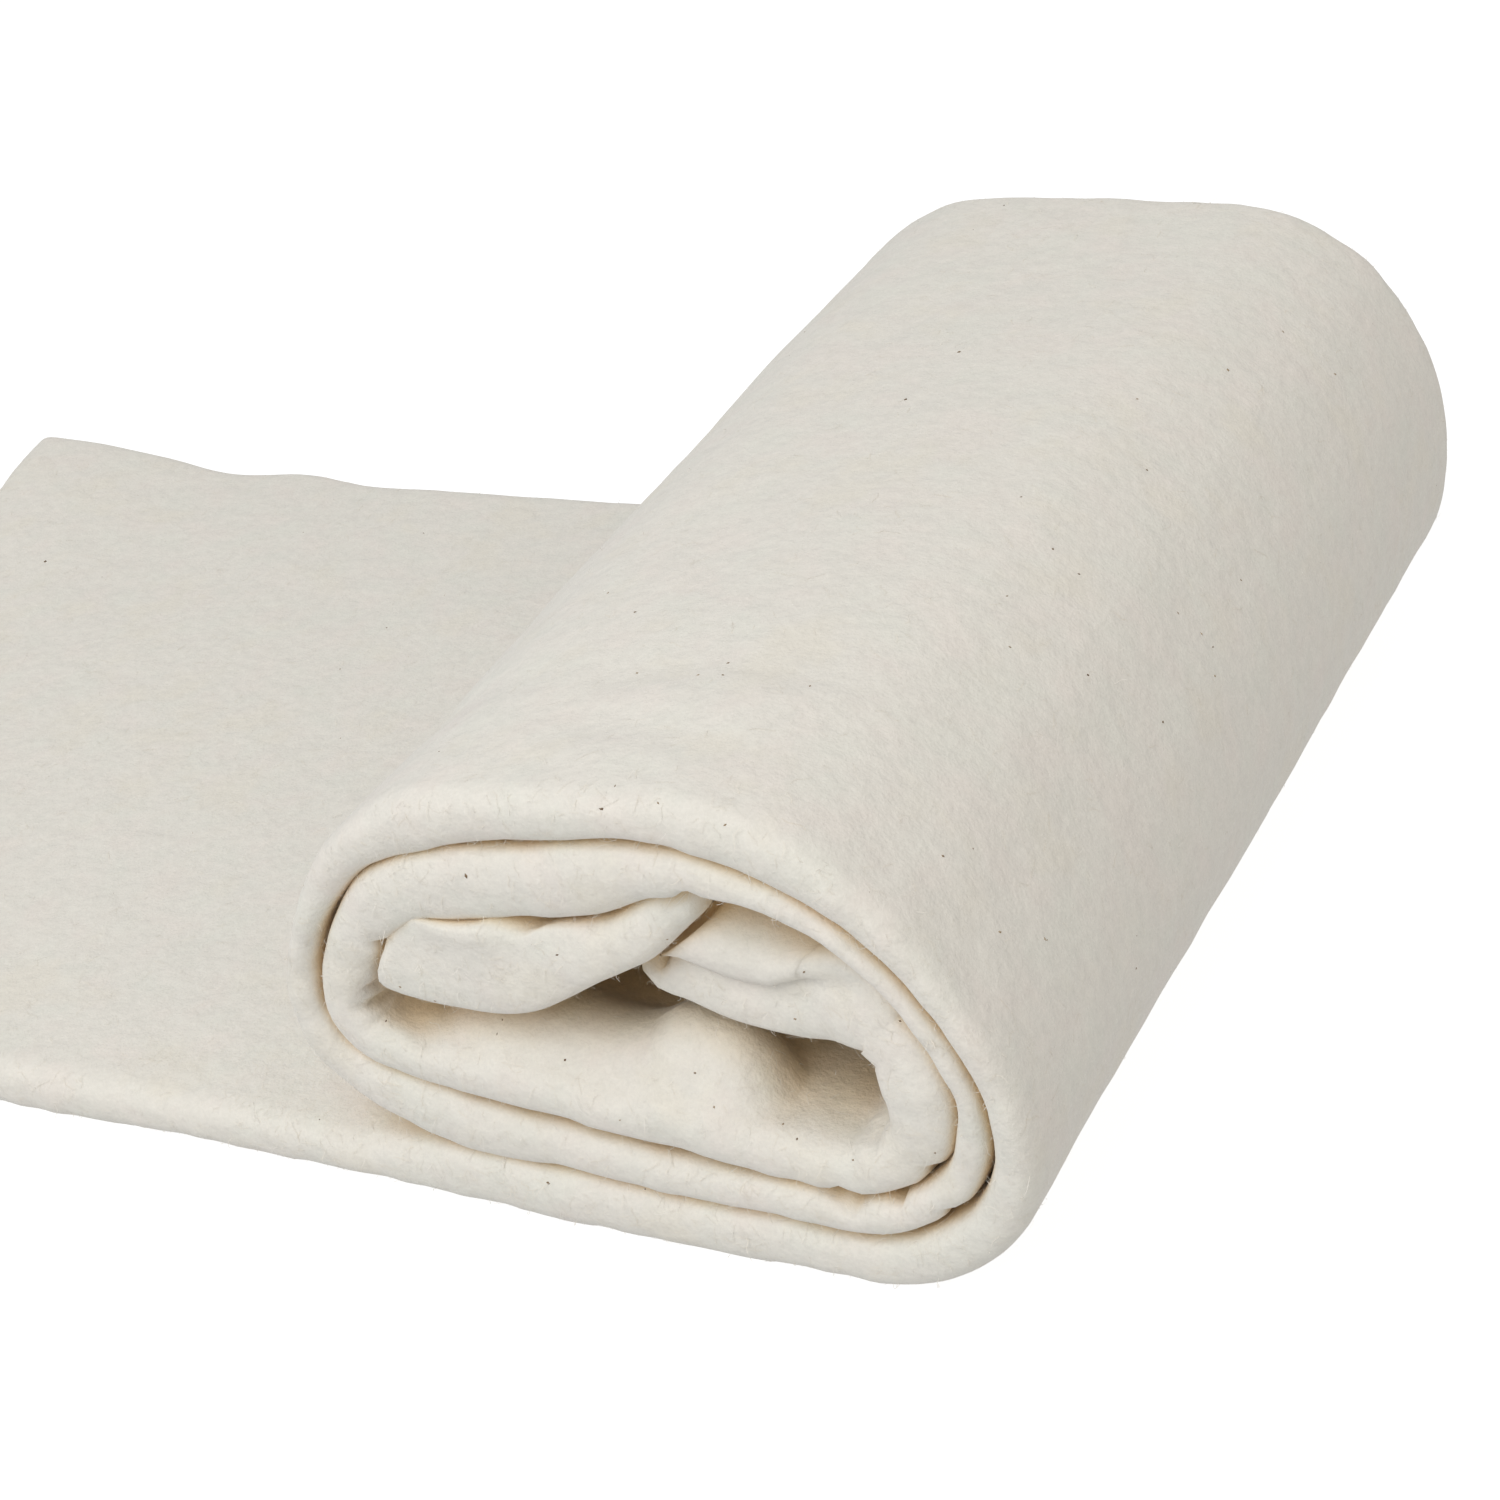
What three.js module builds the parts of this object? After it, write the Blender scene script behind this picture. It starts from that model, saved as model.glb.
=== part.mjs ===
// Roll of cotton batting: one thick felted sheet, wound two and a half turns, with a loose end lying flat.
//
// Millimetres, +Z up. The origin is on the surface that the roll rests on, under its hollow and halfway
// across the cloth. The loose end runs towards -X, and the end of the roll that shows best faces -Y.
//
// The sheet is followed from its loose cut end to its inner end. At every step along that route, and at
// every station across the width, it has a middle point, a direction through its thickness and a loft.

import * as THREE from 'three';

const CLOTH_WIDTH = 254;
const SHEET_LOFT = 10;
// Clearance that two turns lying on each other keep
const TURN_GAP = 0.7;
// Steps between two rows of the tables: the loose sheet hardly bends, and the drooping end bends most
const SHEET_STEPS = 1;
const ROLL_STEPS = 2;
const DROOP_STEPS = 3;
// How far in from the front edge the inner end droops
const DROOP_DEPTH = 38;
// What lies lower than this is pressed flat by the weight above it
const FLAT_SPOT = 0.4;

// The cut edges are full rounds. Each row is a line of the round: its distance from the edge, and the
// share of the loft that is left there.
const EDGE_ROUND = [
  { inset: 0, loft: 0.3 },
  { inset: 0.9, loft: 0.6 },
  { inset: 2.4, loft: 0.86 },
  { inset: 5, loft: 1 },
];
// Distances from the front edge of the further stations, past the rounded ones
const FRONT_STATIONS = [11, 19, 28, DROOP_DEPTH];
const MIDDLE_STATIONS = [84, 130, 176, 216];

// The loose sheet, from its cut end to the roll: x at the back edge, how much nearer to the roll the front
// edge is, how far the front and back edges are drawn in, and how high the back edge is lifted.
const SHEET = [
  { place: 'cut end', x: -308, slant: 27, frontIn: 0, backIn: 9.5, lift: 5.5 },
  { place: 'near the cut', x: -288, slant: 21, frontIn: 0.5, backIn: 9.5, lift: 4.8 },
  { place: 'corner curl', x: -266, slant: 13, frontIn: 0, backIn: 10, lift: 2.4 },
  { place: 'first dip', x: -242, slant: 6, frontIn: 0.6, backIn: 11.5, lift: 0 },
  { place: 'small wave', x: -218, slant: 0, frontIn: 0.2, backIn: 8.5, lift: 0 },
  { place: 'second dip', x: -194, slant: 0, frontIn: 0, backIn: 11.5, lift: 0 },
  { place: 'flat', x: -164, slant: 0, frontIn: 0.4, backIn: 10.5, lift: 0 },
  { place: 'flat', x: -134, slant: 0, frontIn: 0, backIn: 9, lift: 0 },
  { place: 'beside the roll', x: -104, slant: 0, frontIn: 0.6, backIn: 7, lift: 0 },
  { place: 'pucker', x: -78, slant: 0, frontIn: 1.4, backIn: 5, lift: 0 },
  { place: 'under the foot', x: -52, slant: 0, frontIn: 0.6, backIn: 4, lift: 0 },
];

// The outline of the roll, once round from the floor: x and z of its outer surface at the front end, what
// is added to them at the back end, and the room that each of the three wraps takes up, counted inwards.
// A row with a gap of its own is a place where the turns lie more loosely.
const AROUND = [
  { place: 'floor left', x: -24, z: 0, backX: 0, backZ: 0, wraps: [12.5, 13, 10], gap: 1.4 },
  { place: 'floor middle', x: -3, z: 0, backX: 0, backZ: 0, wraps: [11.8, 11.6, 10] },
  { place: 'floor middle', x: 20, z: 0, backX: 0, backZ: 0, wraps: [11.2, 9.6, 10] },
  { place: 'floor right', x: 44, z: 0, backX: 0, backZ: 0, wraps: [11.3, 8.6, 10] },
  { place: 'heel', x: 61, z: 0.6, backX: 0, backZ: 0, wraps: [11.5, 8, 10] },
  { place: 'right foot', x: 74, z: 7.6, backX: 0, backZ: 0, wraps: [10.6, 7.8, 11] },
  { place: 'right low', x: 84, z: 18.6, backX: -0.5, backZ: 0, wraps: [9.4, 7.4, 11.8] },
  { place: 'right side', x: 88.3, z: 33, backX: -1.5, backZ: 0, wraps: [8.4, 6.6, 12.2] },
  { place: 'right high', x: 85.6, z: 49, backX: 0.5, backZ: 0, wraps: [6.8, 5.4, 12.6] },
  { place: 'right slope', x: 77.5, z: 65, backX: 3, backZ: 1.5, wraps: [6.6, 5.8, 11.4] },
  { place: 'right shoulder', x: 66, z: 80.3, backX: 3, backZ: 1.5, wraps: [8.4, 6.6, 10.2] },
  { place: 'top right', x: 50, z: 91.4, backX: 2, backZ: -0.5, wraps: [10.3, 7.4, 9.9] },
  { place: 'top', x: 28, z: 95.4, backX: 0, backZ: -3, wraps: [10, 10.8, 9.2] },
  { place: 'top left', x: 3, z: 93.4, backX: -3, backZ: -1, wraps: [11.8, 11.6, 9.6] },
  { place: 'left top', x: -19, z: 89.3, backX: -5, backZ: 1, wraps: [12, 12] },
  { place: 'left shoulder', x: -37.5, z: 77.5, backX: -5, backZ: 2, wraps: [8.3, 12.1] },
  { place: 'left high', x: -50, z: 59.5, backX: -3, backZ: 1, wraps: [6.9, 11.3] },
  { place: 'left side', x: -55.5, z: 42, backX: -1, backZ: 0, wraps: [7.3, 11.5] },
  { place: 'left low', x: -53.5, z: 29, backX: 0, backZ: 0, wraps: [9.4, 10.4] },
  { place: 'left foot', x: -46, z: 21, backX: 0, backZ: 0, wraps: [11.4, 10.8], gap: 1.8 },
];

// Near the front edge the second wrap is thicker here, by so much at the edge itself
const THICKER = [
  { place: 'top left', more: 3.2 },
  { place: 'left top', more: 2.8 },
  { place: 'left shoulder', more: 1 },
];

// The third wrap's upper leg hangs away from the wrap above it near the front edge: how far it moves in x
// and z at the edge itself, and how far that edge is set back.
const DROOP = [
  { place: 'right slope', x: 0, z: -2, setBack: 1.5 },
  { place: 'right shoulder', x: -3, z: -9, setBack: 4 },
  { place: 'top right', x: -3.5, z: -13.5, setBack: 5 },
  { place: 'top', x: -2.5, z: -5, setBack: 2 },
  { place: 'top left', x: -3, z: -10, setBack: 0 },
];

// The last stretch of the sheet, past the third wrap: middle points deep inside, and their droop in front.
const INNER_END = [
  { place: 'inner slope', x: -8.5, z: 61.6, backX: -5, droopX: -1, droopZ: -13.6, setBack: 0.5, loft: 9 },
  { place: 'inner end', x: -19.5, z: 57.8, backX: -5, droopX: -2.5, droopZ: -9.3, setBack: 0.5, loft: 9 },
  { place: 'tip', x: -28, z: 52, backX: -5, droopX: -3.5, droopZ: -2, setBack: 0.5, loft: 9 },
];

const BATTING = new THREE.MeshStandardMaterial({ color: 0xe2ddd2, roughness: 0.95, metalness: 0 });

// Stations across the width, each as its distance from the front or the back edge and its share of the loft.
function stationsAcross() {
  const frontRound = EDGE_ROUND.map(({ inset, loft }) => ({ fromFront: inset, loft }));
  const front = FRONT_STATIONS.map((inset) => ({ fromFront: inset, loft: 1 }));
  const middle = MIDDLE_STATIONS.map((inset) => ({ share: inset / CLOTH_WIDTH, loft: 1 }));
  const backRound = EDGE_ROUND.map(({ inset, loft }) => ({ fromBack: inset, loft })).reverse();
  return [...frontRound, ...front, ...middle, ...backRound];
}

// Where a station lies between two edges at y = front and y = back.
function stationY(station, front, back) {
  if (station.fromFront !== undefined) return front + station.fromFront;
  if (station.fromBack !== undefined) return back - station.fromBack;
  return front + station.share * (back - front);
}

function smooth(share) {
  const s = THREE.MathUtils.clamp(share, 0, 1);
  return s * s * (3 - 2 * s);
}

// The outline at one station: points, and directions into the roll.
function outlineAt(across) {
  const points = AROUND.map((row) => new THREE.Vector2(
    row.x + row.backX * smooth(across),
    row.z + row.backZ * smooth(across),
  ));
  const inward = points.map((point, i) => {
    if (AROUND[i].z === 0) return new THREE.Vector2(0, 1);
    const before = points[i - 1];
    const after = points[Math.min(i + 1, points.length - 1)];
    const along = after.clone().sub(before).normalize();
    return new THREE.Vector2(-along.y, along.x);
  });
  return { points, inward };
}

// Knots of the route in one station's plane: middle point (x, z), loft, and the y of both edges.
function knotsAt(station) {
  const knots = SHEET.map((row) => {
    const front = row.frontIn;
    const back = CLOTH_WIDTH - row.backIn;
    const share = (stationY(station, front, back) - front) / (back - front);
    const x = row.x + row.slant * (1 - share * share);
    const z = SHEET_LOFT / 2 + row.lift * smooth((share - 0.6) / 0.4);
    return { x, z, loft: SHEET_LOFT, front, back };
  });
  const across = stationY(station, 0, CLOTH_WIDTH) / CLOTH_WIDTH;
  const { points, inward } = outlineAt(across);
  const droopShare = 1 - smooth(stationY(station, 0, CLOTH_WIDTH) / DROOP_DEPTH);
  for (let wrap = 0; wrap < 3; wrap += 1) {
    AROUND.forEach((row, i) => {
      if (row.wraps[wrap] === undefined) return;
      const outside = row.wraps.slice(0, wrap).reduce((sum, room) => sum + room, 0);
      const thicker = wrap === 1 ? THICKER.find((t) => t.place === row.place) : undefined;
      const loft = row.wraps[wrap] - (row.gap ?? TURN_GAP) + (thicker ? thicker.more * droopShare : 0);
      const middle = points[i].clone().addScaledVector(inward[i], outside + loft / 2);
      const droop = wrap === 2 ? DROOP.find((d) => d.place === row.place) : undefined;
      knots.push({
        x: middle.x + (droop ? droop.x * droopShare : 0),
        z: middle.y + (droop ? droop.z * droopShare : 0),
        loft,
        front: droop ? droop.setBack : 0,
        back: CLOTH_WIDTH,
      });
    });
  }
  INNER_END.forEach((row) => knots.push({
    x: row.x + row.backX * smooth(across) + row.droopX * droopShare,
    z: row.z + row.droopZ * droopShare,
    loft: row.loft,
    front: row.setBack,
    back: CLOTH_WIDTH,
  }));
  return knots;
}

// Steps along the route, as knot number plus share. Both cut ends get the lines of their round.
function stepsAlong(knots) {
  const last = knots.length - 1;
  const reach = (a, b) => Math.hypot(knots[b].x - knots[a].x, knots[b].z - knots[a].z);
  const steps = EDGE_ROUND.map(({ inset, loft }) => ({ at: inset / reach(0, 1), loft }));
  const droopStart = last - DROOP.length - INNER_END.length;
  for (let knot = 0; knot < last; knot += 1) {
    let count = knot < SHEET.length ? SHEET_STEPS : ROLL_STEPS;
    if (knot >= droopStart) count = DROOP_STEPS;
    for (let part = 0; part < count; part += 1) {
      const at = knot + part / count;
      if (knot > 0 && at < last - 0.6) steps.push({ at, loft: 1 });
    }
  }
  const endRound = EDGE_ROUND.map(({ inset, loft }) => ({ at: last - inset / reach(last - 1, last), loft }));
  return [...steps, ...endRound.reverse()];
}

function between(knots, at, key) {
  const low = Math.min(Math.floor(at), knots.length - 2);
  return THREE.MathUtils.lerp(knots[low][key], knots[low + 1][key], smooth(at - low));
}

// Upper and lower surface points of the sheet at every step along the route, in one station's plane.
function rowsAt(station, steps) {
  const knots = knotsAt(station);
  const route = new THREE.CatmullRomCurve3(
    knots.map(({ x, z }) => new THREE.Vector3(x, 0, z)),
    false,
    'centripetal',
  );
  return steps.map(({ at, loft }) => {
    const t = at / (knots.length - 1);
    const middle = route.getPoint(t);
    const along = route.getTangent(t);
    const half = (between(knots, at, 'loft') * loft * station.loft) / 2;
    const y = stationY(station, between(knots, at, 'front'), between(knots, at, 'back')) - CLOTH_WIDTH / 2;
    const point = (side) => {
      const z = middle.z + along.x * half * side;
      return [middle.x - along.z * half * side, y, z < FLAT_SPOT ? 0 : z];
    };
    return { left: point(1), right: point(-1) };
  });
}

function battingGeometry() {
  const stations = stationsAcross();
  const steps = stepsAlong(knotsAt({ share: 0.5, loft: 1 }));
  const columns = stations.map((station) => rowsAt(station, steps));
  const rows = steps.length;
  const vertices = [];
  for (const side of ['left', 'right']) {
    for (const column of columns) {
      for (const row of column) vertices.push(...row[side]);
    }
  }
  const sideSize = columns.length * rows;
  const index = (side, station, step) => side * sideSize + station * rows + step;
  const faces = [];
  const quad = (a, b, c, d) => faces.push(a, b, c, a, c, d);
  for (let j = 0; j + 1 < columns.length; j += 1) {
    for (let i = 0; i + 1 < rows; i += 1) {
      quad(index(0, j, i), index(0, j, i + 1), index(0, j + 1, i + 1), index(0, j + 1, i));
      quad(index(1, j, i), index(1, j + 1, i), index(1, j + 1, i + 1), index(1, j, i + 1));
    }
    const end = rows - 1;
    quad(index(0, j, 0), index(0, j + 1, 0), index(1, j + 1, 0), index(1, j, 0));
    quad(index(0, j + 1, end), index(0, j, end), index(1, j, end), index(1, j + 1, end));
  }
  const back = columns.length - 1;
  for (let i = 0; i + 1 < rows; i += 1) {
    quad(index(0, 0, i + 1), index(0, 0, i), index(1, 0, i), index(1, 0, i + 1));
    quad(index(0, back, i), index(0, back, i + 1), index(1, back, i + 1), index(1, back, i));
  }
  const geometry = new THREE.BufferGeometry();
  geometry.setAttribute('position', new THREE.Float32BufferAttribute(vertices, 3));
  geometry.setIndex(faces);
  geometry.computeVertexNormals();
  return geometry;
}

const roll = new THREE.Group();
const batting = new THREE.Mesh(battingGeometry(), BATTING);
batting.name = 'batting';
roll.add(batting);

export default roll;
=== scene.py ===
"""Roll of cotton batting: one thick felted sheet, wound two and a half turns, its loose end lying flat.

The sheet is followed from its loose cut end to its inner end, along the route of the solid that it
replaces, in finer steps, and gets its creases, puckers, soft lumps and fuzzy cut edges. Shapes are worked
out in millimetres, and a mesh is made from them in metres.
"""

import math
from collections import namedtuple

import bpy
import numpy as np
from mathutils import Matrix, Vector
from mathutils.bvhtree import BVHTree


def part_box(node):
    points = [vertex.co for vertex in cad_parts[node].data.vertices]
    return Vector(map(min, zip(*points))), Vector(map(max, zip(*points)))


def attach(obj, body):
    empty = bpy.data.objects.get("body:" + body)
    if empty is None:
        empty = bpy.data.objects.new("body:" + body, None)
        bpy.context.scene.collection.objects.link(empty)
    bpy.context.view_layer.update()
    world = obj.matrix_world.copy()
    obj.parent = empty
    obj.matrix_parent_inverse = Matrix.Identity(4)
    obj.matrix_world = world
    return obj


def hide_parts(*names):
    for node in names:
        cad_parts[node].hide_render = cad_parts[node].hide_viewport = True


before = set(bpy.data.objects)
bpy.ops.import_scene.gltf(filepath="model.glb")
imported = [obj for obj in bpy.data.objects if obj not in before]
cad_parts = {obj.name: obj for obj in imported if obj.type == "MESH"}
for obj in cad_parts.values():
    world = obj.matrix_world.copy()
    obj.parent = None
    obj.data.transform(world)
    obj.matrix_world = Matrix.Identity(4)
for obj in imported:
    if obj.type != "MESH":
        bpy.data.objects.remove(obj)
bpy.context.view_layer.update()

MM = 0.001
LOW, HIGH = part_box("batting")
CLOTH_WIDTH = (HIGH.y - LOW.y) / MM

# The route has the values of the solid, but its turns lie closer, the inner leg droops over less of its
# width, the right side has other thicknesses near the front edge, and the inner end reaches farther
SHEET_LOFT = 10
TURN_GAP = 0.1
DROOP_DEPTH = 26
# Points lower than this lie flat on the table
FLAT_SPOT = 0.4

# Width of the full round along every cut edge, how full it is, and the lines that draw it
ROUND_DEPTH = 5
ROUND_FULLNESS = 0.8
ROUND_LINES = 6
ROUND_START = math.radians(10)
# How far the other steps keep from the rounds of the two cut ends, in knots of the route
ROOM_AT_START = 0.05
ROOM_AT_END = 0.1
# Distance between two steps along the route, on the whole and on the inner leg, and between two lines that
# run along the cloth: near the front edge, where the end of the roll shows, in the middle, and at the back
STEP_ALONG = 2.1
STEP_FOLD = 1.2
STEP_FRONT = 2
STEP_MIDDLE = 6
STEP_BACK = 3
FRONT_ZONE = 46
BACK_ZONE = 20

# The loose sheet, from its cut end to the roll: x at the back edge, how much nearer to the roll the front
# edge is, how far the front and back edges are drawn in, and how high the back edge is lifted. The lift
# starts at a share of the width.
LIFT_START = 0.6
SheetRow = namedtuple("SheetRow", "place x slant front_in back_in lift")
SHEET = [
    SheetRow("cut end", -308, 27, 0, 9.5, 5.5),
    SheetRow("near the cut", -288, 21, 0.5, 9.5, 4.8),
    SheetRow("corner curl", -266, 13, 0, 10, 2.4),
    SheetRow("first dip", -242, 6, 0.6, 11.5, 0),
    SheetRow("small wave", -218, 0, 0.2, 8.5, 0),
    SheetRow("second dip", -194, 0, 0, 11.5, 0),
    SheetRow("flat", -164, 0, 0.4, 10.5, 0),
    SheetRow("flat", -134, 0, 0, 9, 0),
    SheetRow("beside the roll", -104, 0, 0.6, 7, 0),
    SheetRow("pucker", -78, 0, 1.4, 5, 0),
    SheetRow("under the foot", -52, 0, 0.6, 4, 0),
]

# The outline of the roll, once round from the floor: x and z of its outer surface at the front end, what
# is added to them at the back end, the room that each wrap takes up, counted inwards, and its gap.
AroundRow = namedtuple("AroundRow", "place x z back_x back_z wraps gap", defaults=[TURN_GAP])
AROUND = [
    AroundRow("floor left", -24, 0, 0, 0, [12.5, 13, 10], 0.4),
    AroundRow("floor middle", -3, 0, 0, 0, [11.8, 11.6, 10]),
    AroundRow("floor hump", 20, 0, 0, 0, [11.2, 9.6, 10]),
    AroundRow("floor right", 44, 0, 0, 0, [11.3, 8.6, 10]),
    AroundRow("heel", 61, 0.6, 0, 0, [11.5, 8, 10]),
    AroundRow("right foot", 74, 7.6, 0, 0, [10.6, 7.8, 11]),
    AroundRow("right low", 84, 18.6, -0.5, 0, [9.4, 7.4, 11.8]),
    AroundRow("right side", 88.3, 33, -1.5, 0, [8.4, 6.6, 12.2]),
    AroundRow("right high", 85.6, 49, 0.5, 0, [6.8, 5.4, 12.6]),
    AroundRow("right slope", 77.5, 65, 3, 1.5, [6.6, 5.8, 11.4]),
    AroundRow("right shoulder", 66, 80.3, 3, 1.5, [8.4, 6.6, 10.2]),
    AroundRow("top right", 50, 91.4, 2, -0.5, [10.3, 7.4, 9.9]),
    AroundRow("top", 28, 95.4, 0, -3, [10, 10.8, 9.2]),
    AroundRow("top left", 3, 93.4, -3, -1, [11.8, 11.6, 9.6]),
    AroundRow("left top", -19, 89.3, -5, 1, [12, 12]),
    AroundRow("left shoulder", -37.5, 77.5, -5, 2, [8.3, 12.1]),
    AroundRow("left high", -50, 59.5, -3, 1, [6.9, 11.3]),
    AroundRow("left side", -55.5, 42, -1, 0, [7.3, 11.5]),
    AroundRow("left low", -53.5, 29, 0, 0, [9.4, 10.4]),
    AroundRow("left foot", -46, 21, 0, 0, [11.4, 10.8], 0.6),
]
WRAPS = 3

# How much thicker a wrap is near the front edge, by wrap number and place, or how much thinner, below 0
THICKER = {
    (2, "top left"): 3.2,
    (2, "left top"): 2.8,
    (2, "left shoulder"): 1,
    (2, "right high"): -0.9,
    (2, "right slope"): -1.6,
    (2, "right shoulder"): -1.6,
    (2, "top right"): -0.9,
    (3, "right high"): 0.9,
    (3, "right slope"): 1.5,
    (3, "right shoulder"): 1.4,
}

# How the third wrap's upper leg hangs away from the wrap above it at the front edge
DroopRow = namedtuple("DroopRow", "x z set_back")
DROOP = {
    "right slope": DroopRow(0, -2, 1.5),
    "right shoulder": DroopRow(-3, -9, 4),
    "top right": DroopRow(-3.5, -13.5, 5),
    "top": DroopRow(-2.5, -5, 2),
    "top left": DroopRow(-3, -10, 0),
}

# The last stretch, past the third wrap: middle points deep inside, and their droop at the front edge
InnerRow = namedtuple("InnerRow", "place x z back_x droop_x droop_z set_back loft")
INNER_END = [
    InnerRow("inner slope", -8.5, 61.6, -5, -1, -13.6, 0.5, 9),
    InnerRow("inner end", -19.5, 57.8, -5, -2.5, -9.3, 0.5, 9),
    InnerRow("tip", -29.5, 52, -5, -3.5, -2, 0.5, 9),
]

# Where the front edge of the inner leg hangs, in a fold over itself: the middle of the edge at a distance
# along the cloth from a place, how far it is set back, and how deep inside the roll the fold has run out
EDGE_FOLD_EASE = 1.5
EdgeRow = namedtuple("EdgeRow", "wrap place shift x z set_back depth")
EDGE_FOLD = [
    EdgeRow(3, "right high", 6.4, 64.9, 49.7, 1.6, 22),
    EdgeRow(3, "right slope", -2.5, 62.1, 51.9, 2.5, 22),
    EdgeRow(3, "right shoulder", -8.5, 58.4, 53.2, 3, 22),
    EdgeRow(3, "right shoulder", -4.5, 54.2, 52.7, 4, 22),
    EdgeRow(3, "right shoulder", -0.5, 50, 51.6, 5.5, 22),
    EdgeRow(3, "right shoulder", 4, 45, 50.4, 6.5, 22),
    EdgeRow(3, "top right", -1.6, 38.5, 50.2, 7, 22),
    EdgeRow(3, "top right", 2.9, 32, 51.4, 7, 22),
    EdgeRow(3, "top right", 6.9, 26, 53.4, 7, 22),
    EdgeRow(3, "top right", 10.9, 19.5, 55.2, 8, 20),
    EdgeRow(3, "top", -1.7, 20, 61.5, 10, 18),
    EdgeRow(3, "top", 2.3, 26, 68, 12, 16),
    EdgeRow(3, "top", 6.3, 31, 73, 13, 16),
    EdgeRow(3, "top", 9.3, 34, 76, 11, 16),
    EdgeRow(3, "top", 11.3, 31.5, 75.3, 5, 16),
    EdgeRow(3, "top", 15.3, 26.5, 71, 2, 17),
    EdgeRow(3, "top left", -2.2, 20.5, 65.3, 0.5, 19),
    EdgeRow(3, "top left", 2.8, 14, 61.2, 0.2, 22),
    EdgeRow(3, "top left", 7.3, 8, 57.8, 0, 26),
    EdgeRow(4, "inner slope", -3.6, 1.5, 53.4, 0, 30),
    EdgeRow(4, "inner slope", 0.8, -4.5, 50.4, 0, 30),
]

# Soft folds along lines on the flat cloth. Both ends of a line are given by a distance along the cloth from
# a place and a distance from the front edge. The cloth rises towards the inside of the roll by height, and
# falls off over width. "sheet" moves the whole cloth, "inside" and "outside" only that surface.
Fold = namedtuple("Fold", "wrap place shift y to_shift to_y width height moves")
FOLDS = [
    Fold(3, "floor hump", 2, 18, 0, 46, 10, 4, "sheet"),
    Fold(3, "floor hump", 2, 12.5, 8, 13, 6, 11, "sheet"),
    Fold(3, "floor middle", -16, 13.5, 15, 13.5, 6.5, 6.5, "sheet"),
    Fold(3, "floor middle", -4, 26, 20, 40, 16, 3, "sheet"),
    Fold(3, "floor hump", 3.9, 4, 3.2, 12.4, 2.2, -0.9, "inside"),
    Fold(3, "right foot", 1.3, 6, 2.4, 0, 1.8, -1.6, "inside"),
    Fold(3, "floor left", -14, 10, -4.9, 3, 3, -1.2, "inside"),
    Fold(2, "top", -5.6, 0, -5.6, 3, 2, -2.2, "inside"),
    Fold(2, "floor right", 6.2, 3, 9, 1, 1.8, -1.5, "inside"),
    Fold(3, "right shoulder", -8, 9, 19, 10, 6, -7, "outside"),
    Fold(4, "inner slope", 0, 0, -8, 10, 2.4, 3.2, "outside"),
    Fold(4, "inner end", -13, 7, 5, 6, 8, -10, "outside"),
    Fold(1, "left top", -1, 39, 24, 40, 6, 0.9, "outside"),
    Fold(1, "top", -7, 47, 25, 40, 6, 0.9, "outside"),
    Fold(1, "top left", -3, 24, -28, 21, 6, 0.9, "outside"),
    Fold(3, "heel", -3, 0, -3, 6, 1.6, 1.8, "outside"),
    Fold(2, "heel", -3, 0, -3, 5, 1.6, -1.8, "inside"),
    Fold(2, "right foot", -2, 0, -2, 5, 1.6, -1.8, "inside"),
    Fold(2, "right low", -3.6, 0, -3.6, 5, 1.6, 1.8, "outside"),
    Fold(3, "right low", 1.7, 0, 1.7, 5, 1.6, 1.8, "outside"),
    Fold(2, "left side", -2, 0, 1, 8, 2, -2.5, "inside"),
    Fold(2, "left side", -6.5, 0, -5, 7, 1.6, -2, "inside"),
    Fold(2, "left high", -6, 0, -6, 5, 1.6, -1.8, "inside"),
    Fold(3, "top", 9, 0, 9, 4, 2, -1.5, "outside"),
]

# Unevenness of the felt, as the width and the height of its bumps: of its surfaces, and of its cut edges,
# where it reaches in by EDGE_DEPTH
Wave = namedtuple("Wave", "size height")
LUMPS = [Wave(30, 0.3), Wave(9, 0.16), Wave(4.5, 0.1)]
EDGE_WAVES = [Wave(22, 0.2), Wave(9, 0.18), Wave(4.3, 0.3)]
EDGE_DEPTH = 8
# How much the loft varies along the front edge, over what length, and how far in
EDGE_SWELL = 0.1
EDGE_SWELL_LENGTH = 16
EDGE_SWELL_DEPTH = 16

# Cells of the noise's grid, the row of it that the back edge runs along, and its seeds
NOISE_CELLS = 96
BACK_ROW = 9
SWELL_SEED = 3
INSIDE_SEED = 11
OUTSIDE_SEED = 21
FRONT_SEED = 31
BACK_SEED = 41
START_SEED = 51


def smooth(share):
    """Rises from 0 to 1 as share does, level at both ends."""
    s = np.clip(share, 0, 1)
    return s * s * (3 - 2 * s)


def near(distance, width):
    """1 at no distance, and softly less over about the width."""
    return np.exp(-((distance / width) ** 2))


def soft_noise(u, v, size, seed):
    """Smooth bumps from -1 to 1 over a plane, about as wide as size."""
    grid = np.random.default_rng(seed).uniform(-1, 1, (NOISE_CELLS, NOISE_CELLS))
    x, y = np.asarray(u) / size, np.asarray(v) / size
    column, row = np.floor(x).astype(int), np.floor(y).astype(int)
    across, up = smooth(x - column), smooth(y - row)

    def corner(i, j):
        return grid[(column + i) % NOISE_CELLS, (row + j) % NOISE_CELLS]

    low = corner(0, 0) * (1 - across) + corner(1, 0) * across
    high = corner(0, 1) * (1 - across) + corner(1, 1) * across
    return low * (1 - up) + high * up


def round_lines():
    """Lines of a full round: distances from the cut edge, and the share of the loft left there."""
    angles = np.linspace(ROUND_START, math.radians(90), ROUND_LINES)
    return ROUND_DEPTH * (1 - np.cos(angles)), np.sin(angles) ** ROUND_FULLNESS


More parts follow.
